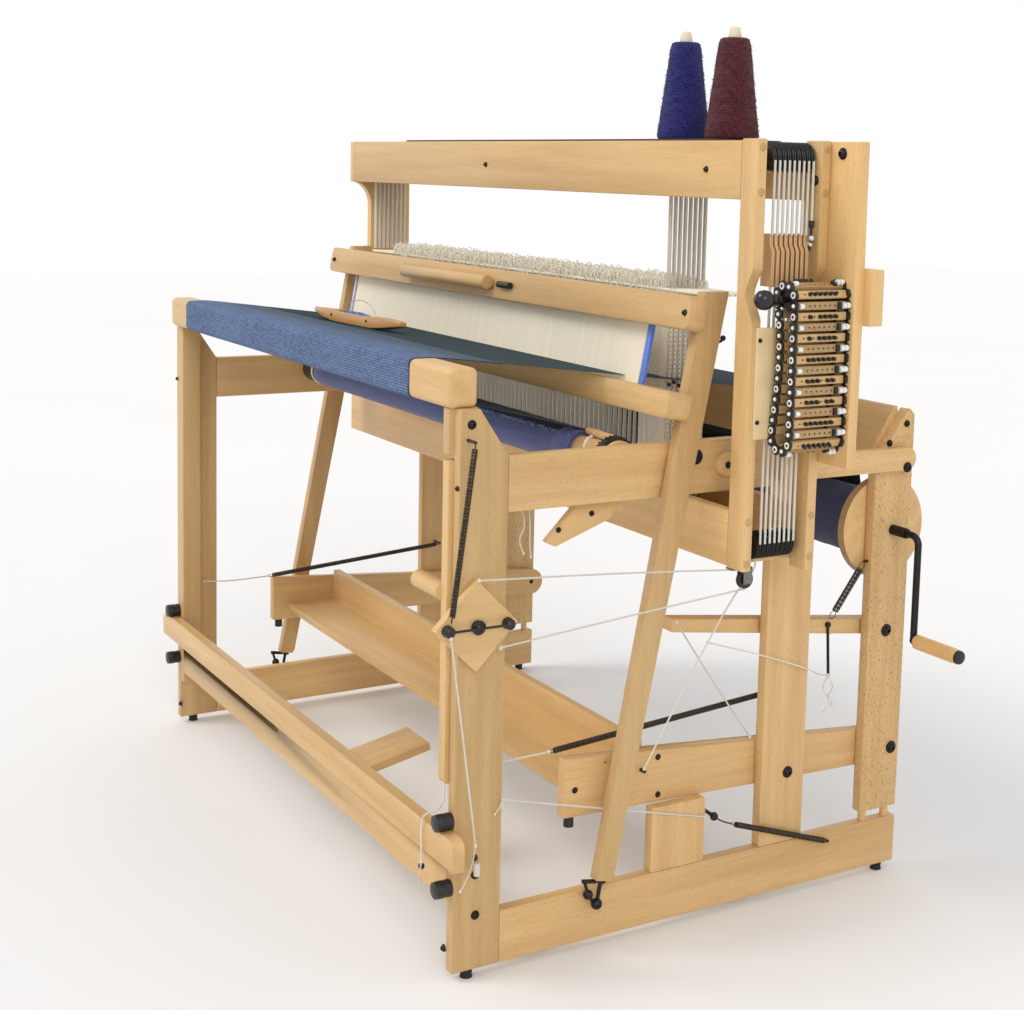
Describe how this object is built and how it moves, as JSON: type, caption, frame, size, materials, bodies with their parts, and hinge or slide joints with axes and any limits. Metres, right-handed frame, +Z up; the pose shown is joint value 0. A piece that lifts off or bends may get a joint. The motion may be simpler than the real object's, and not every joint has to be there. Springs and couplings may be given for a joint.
{
  "type": "floor loom",
  "caption": "Beech floor loom with a dobby, a wooden beater, a wide treadle, shafts with heddles, cloth and warp beams, a crank, and a blue web with yarn cones and a shuttle.",
  "frame": {"origin": "on the floor below the middle of the loom's bounding box", "axes": "+X along the weaving width towards the dobby, +Y from the weaver to the warp beam, +Z up"},
  "size_m": [1.568, 0.9599, 1.428],
  "materials": {
    "beech": "oiled",
    "black_rubber": "matt",
    "black_plastic": "matt",
    "black_steel": "satin",
    "heddle_steel": "brushed",
    "yarn": "wound yarn",
    "blue_cloth": "woven",
    "navy_warp": "wound yarn",
    "white_cord": "twisted",
    "cover_board": "matt",
    "peg_bars": "oiled"
  },
  "bodies": {
    "frame": {"left_post": "beech", "right_post": "beech", "left_bottom_rail": "beech", "right_bottom_rail": "beech", "left_upper_rail": "beech", "right_upper_rail": "beech", "left_leg": "beech", "right_leg": "beech", "left_rear_post": "beech", "right_rear_post": "beech", "back_beam": "beech", "breast_beam": "beech", "front_boards": "beech", "feet": "black_rubber", "castle_boards": "beech", "castle_tray": "black_plastic", "lower_box": "beech", "castle_uprights": "beech", "castle_end_panel": "beech", "dobby_board": "beech", "cover_plate": "cover_board", "fasteners": "black_steel", "cord_pulleys": "black_plastic", "yarn_cones": "yarn", "web": "blue_cloth", "harness_cords": "white_cord", "cords": "white_cord", "springs": "black_steel", "peg_chain": "peg_bars", "rail_blocks": "beech", "shuttle": "beech"},
    "beater": {"beater_swords": "beech", "beater_rails": "beech", "reed": "heddle_steel"},
    "cloth_roll": {"cloth_beam": "blue_cloth"},
    "warp_roll": {"warp_beam": "navy_warp", "crank": "black_steel"},
    "grip": {"crank_grip": "beech"},
    "treadle": {"treadle": "beech"},
    "hand_lever": {"hand_lever": "beech"},
    "tension_plate": {"tension_plate": "beech"},
    "brake_lever": {"brake_lever": "beech"},
    "foot_pedal": {"foot_pedal": "beech"},
    "peg_drum": {"peg_drum": "black_plastic"},
    "shaft_1": {"shaft_1": "heddle_steel"},
    "jack_1": {"jack_1": "beech"},
    "shaft_2": {"shaft_2": "heddle_steel"},
    "jack_2": {"jack_2": "beech"},
    "shaft_3": {"shaft_3": "heddle_steel"},
    "jack_3": {"jack_3": "beech"},
    "shaft_4": {"shaft_4": "heddle_steel"},
    "jack_4": {"jack_4": "beech"},
    "shaft_5": {"shaft_5": "heddle_steel"},
    "jack_5": {"jack_5": "beech"},
    "shaft_6": {"shaft_6": "heddle_steel"},
    "jack_6": {"jack_6": "beech"},
    "shaft_7": {"shaft_7": "heddle_steel"},
    "jack_7": {"jack_7": "beech"},
    "shaft_8": {"shaft_8": "heddle_steel"},
    "jack_8": {"jack_8": "beech"}
  },
  "joints": [
    {"name": "beater_swing", "type": "hinge", "parent": "frame", "child": "beater", "pos_m": [-0.052, -0.202, 0.076], "axis": [1, 0, 0], "range_deg": [-0.5, 9]},
    {"name": "cloth_roll_spin", "type": "hinge", "parent": "frame", "child": "cloth_roll", "pos_m": [-0.052, -0.155, 0.76], "axis": [1, 0, 0], "continuous": true},
    {"name": "warp_roll_spin", "type": "hinge", "parent": "frame", "child": "warp_roll", "pos_m": [-0.052, 0.384, 0.607], "axis": [1, 0, 0], "continuous": true},
    {"name": "grip_spin", "type": "hinge", "parent": "warp_roll", "child": "grip", "pos_m": [0.718, 0.384, 0.43], "axis": [1, 0, 0], "continuous": true},
    {"name": "treadle_press", "type": "hinge", "parent": "frame", "child": "treadle", "pos_m": [-0.052, 0.404, 0.221], "axis": [1, 0, 0], "range_deg": [0, 13]},
    {"name": "hand_lever_pull", "type": "hinge", "parent": "frame", "child": "hand_lever", "pos_m": [0.564, -0.434, 0.762], "axis": [1, 0, 0], "range_deg": [-15, 0]},
    {"name": "tension_plate_turn", "type": "hinge", "parent": "frame", "child": "tension_plate", "pos_m": [0.601, -0.42, 0.543], "axis": [1, 0, 0], "range_deg": [0, 25]},
    {"name": "brake_lever_drop", "type": "hinge", "parent": "frame", "child": "brake_lever", "pos_m": [0.553, 0.38, 0.432], "axis": [1, 0, 0], "range_deg": [0, 5]},
    {"name": "foot_pedal_press", "type": "hinge", "parent": "frame", "child": "foot_pedal", "pos_m": [0.153, -0.409, 0.15], "axis": [1, 0, 0], "range_deg": [-12, 0]},
    {"name": "peg_drum_turn", "type": "hinge", "parent": "frame", "child": "peg_drum", "pos_m": [0.733, 0.055, 1.017], "axis": [0, 1, 0], "continuous": true},
    {"name": "shaft_1_lift", "type": "slide", "parent": "frame", "child": "shaft_1", "axis": [0, 0, 1], "range_m": [0, 0.04]},
    {"name": "shaft_2_lift", "type": "slide", "parent": "frame", "child": "shaft_2", "axis": [0, 0, 1], "range_m": [0, 0.04]},
    {"name": "shaft_3_lift", "type": "slide", "parent": "frame", "child": "shaft_3", "axis": [0, 0, 1], "range_m": [0, 0.04]},
    {"name": "shaft_4_lift", "type": "slide", "parent": "frame", "child": "shaft_4", "axis": [0, 0, 1], "range_m": [0, 0.04]},
    {"name": "shaft_5_lift", "type": "slide", "parent": "frame", "child": "shaft_5", "axis": [0, 0, 1], "range_m": [0, 0.04]},
    {"name": "shaft_6_lift", "type": "slide", "parent": "frame", "child": "shaft_6", "axis": [0, 0, 1], "range_m": [0, 0.04]},
    {"name": "shaft_7_lift", "type": "slide", "parent": "frame", "child": "shaft_7", "axis": [0, 0, 1], "range_m": [0, 0.04]},
    {"name": "shaft_8_lift", "type": "slide", "parent": "frame", "child": "shaft_8", "axis": [0, 0, 1], "range_m": [0, 0.04]},
    {"name": "jack_1_pull", "type": "slide", "parent": "frame", "child": "jack_1", "axis": [0, 0, 1], "range_m": [-0.04, 0]},
    {"name": "jack_2_pull", "type": "slide", "parent": "frame", "child": "jack_2", "axis": [0, 0, 1], "range_m": [-0.04, 0]},
    {"name": "jack_3_pull", "type": "slide", "parent": "frame", "child": "jack_3", "axis": [0, 0, 1], "range_m": [-0.04, 0]},
    {"name": "jack_4_pull", "type": "slide", "parent": "frame", "child": "jack_4", "axis": [0, 0, 1], "range_m": [-0.04, 0]},
    {"name": "jack_5_pull", "type": "slide", "parent": "frame", "child": "jack_5", "axis": [0, 0, 1], "range_m": [-0.04, 0]},
    {"name": "jack_6_pull", "type": "slide", "parent": "frame", "child": "jack_6", "axis": [0, 0, 1], "range_m": [-0.04, 0]},
    {"name": "jack_7_pull", "type": "slide", "parent": "frame", "child": "jack_7", "axis": [0, 0, 1], "range_m": [-0.04, 0]},
    {"name": "jack_8_pull", "type": "slide", "parent": "frame", "child": "jack_8", "axis": [0, 0, 1], "range_m": [-0.04, 0]}
  ],
  "couplings": [
    {"joint": "jack_1_pull", "follows": "shaft_1_lift", "ratio": -1},
    {"joint": "jack_2_pull", "follows": "shaft_2_lift", "ratio": -1},
    {"joint": "jack_3_pull", "follows": "shaft_3_lift", "ratio": -1},
    {"joint": "jack_4_pull", "follows": "shaft_4_lift", "ratio": -1},
    {"joint": "jack_5_pull", "follows": "shaft_5_lift", "ratio": -1},
    {"joint": "jack_6_pull", "follows": "shaft_6_lift", "ratio": -1},
    {"joint": "jack_7_pull", "follows": "shaft_7_lift", "ratio": -1},
    {"joint": "jack_8_pull", "follows": "shaft_8_lift", "ratio": -1}
  ]
}
